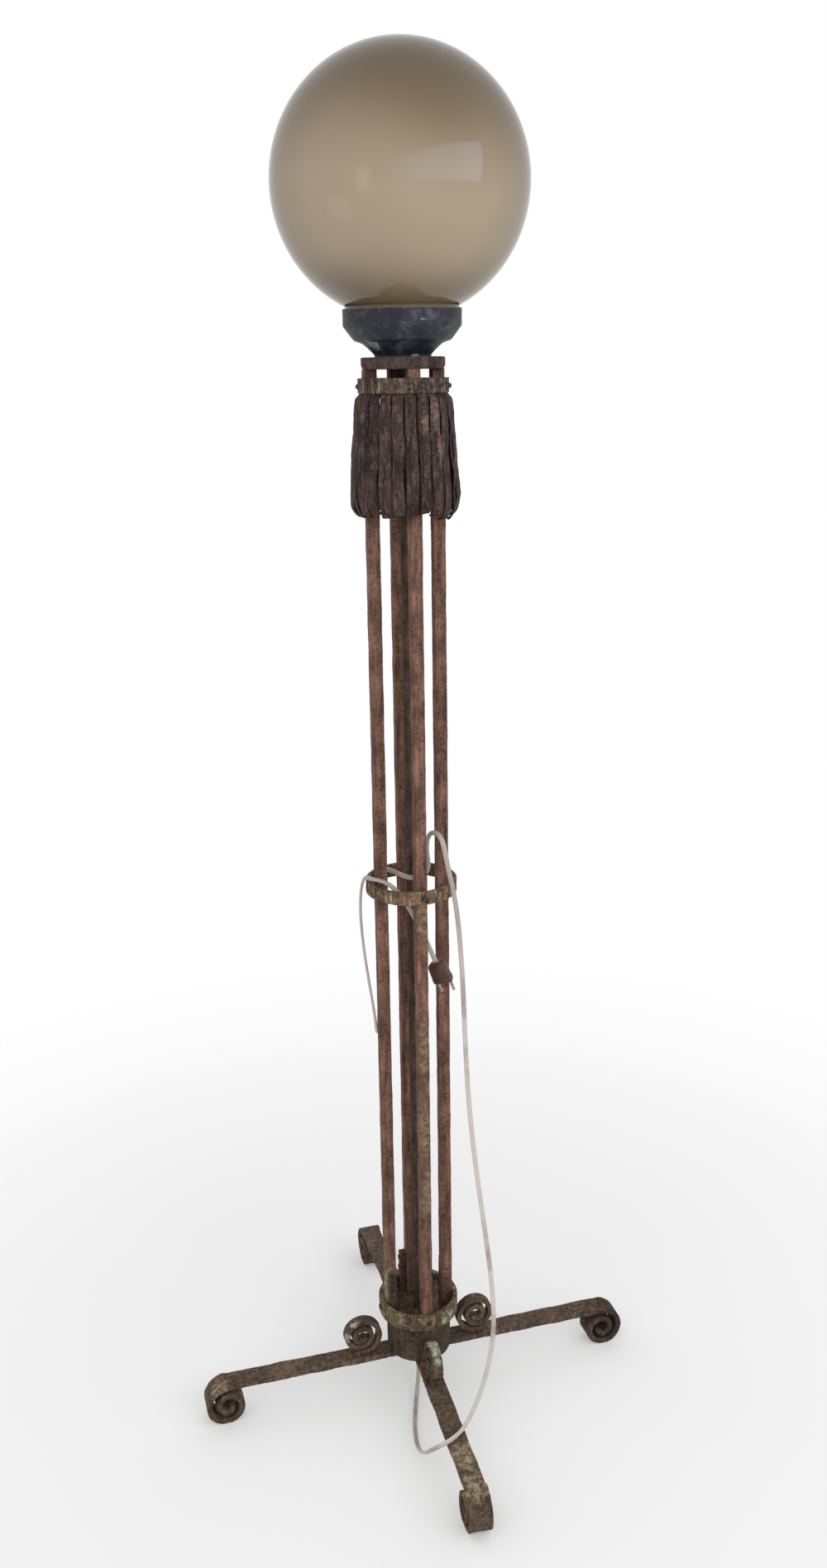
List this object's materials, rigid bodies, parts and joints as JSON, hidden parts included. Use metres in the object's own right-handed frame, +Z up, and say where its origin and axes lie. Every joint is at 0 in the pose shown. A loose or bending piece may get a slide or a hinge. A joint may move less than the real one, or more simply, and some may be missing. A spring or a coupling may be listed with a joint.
{
  "type": "floor lamp",
  "caption": "Wrought iron floor lamp with scrolled feet, square bars around a tube, a fringed collar, ring bands, a globe shade and a flex with plug.",
  "frame": {"origin": "on the floor, on the axis of the column", "axes": "+Z up along the column; the legs lie along X and Y; -Y is the front leg; the picture is taken from about 16 degrees to the left of -Y"},
  "size_m": [0.634, 0.6343, 1.7877],
  "materials": {
    "smoked_glass": "smoky taupe cased glass, polished",
    "bulb_glass": "frosted",
    "bulb_metal": "pressed screw thread",
    "blue_paint": "worn dark blue enamel paint",
    "ochre_paint": "flaking cream and green paint over rust",
    "rusted_iron": "forged, brown rust",
    "rivet_iron": "hammered rivet heads",
    "brass": "dull",
    "bakelite": "aged brown bakelite",
    "porcelain": "glazed",
    "flex_plastic": "aged white flex",
    "black_rubber": "moulded",
    "pin_metal": "dull plated"
  },
  "bodies": {
    "stand": {"gallery": "blue_paint", "gallery_nut": "brass", "lampholder_cap": "bakelite", "lampholder_barrel": "bakelite", "lampholder_shell": "brass", "lampholder_insert": "porcelain", "lampholder_contacts": "brass", "terminal_screws": "brass", "stem_nipple": "brass", "top_plate": "rusted_iron", "central_tube": "rusted_iron", "upright_right": "rusted_iron", "upright_rear": "rusted_iron", "upright_left": "rusted_iron", "upright_front": "rusted_iron", "collar_hoop": "rusted_iron", "fringe_strips": "rusted_iron", "collar_rivets": "rivet_iron", "mid_ring": "ochre_paint", "mid_ring_sleeves": "rusted_iron", "mid_ring_rivets": "rivet_iron", "lower_ring": "ochre_paint", "lower_ring_rivets": "rivet_iron", "upright_cleats": "ochre_paint", "cleat_rivets": "rivet_iron", "stand_disc": "ochre_paint", "hub_drum": "rusted_iron", "base_disc": "rusted_iron", "base_nut": "rusted_iron", "leg_right": "rusted_iron", "leg_rear": "rusted_iron", "leg_left": "rusted_iron", "leg_front": "rusted_iron", "volute_right": "rusted_iron", "volute_rear": "rusted_iron", "volute_left": "rusted_iron", "volute_front": "rusted_iron", "leg_rivets": "rivet_iron", "volute_rivets": "rivet_iron", "flex_cores": "flex_plastic", "cable_bush": "black_rubber", "flex_cord": "flex_plastic", "plug_body": "bakelite", "plug_cover": "bakelite", "plug_screw": "brass", "plug_pins": "pin_metal"},
    "globe": {"globe_glass": "smoked_glass"},
    "bulb": {"bulb_envelope": "bulb_glass", "bulb_cap": "bulb_metal"}
  },
  "joints": [
    {"name": "globe_lift", "type": "slide", "parent": "stand", "child": "globe", "axis": [0, 0, 1], "range_m": [0, 0.16]},
    {"name": "bulb_turn", "type": "hinge", "parent": "stand", "child": "bulb", "pos_m": [0, 0, 1.5], "axis": [0, 0, 1], "continuous": true}
  ]
}
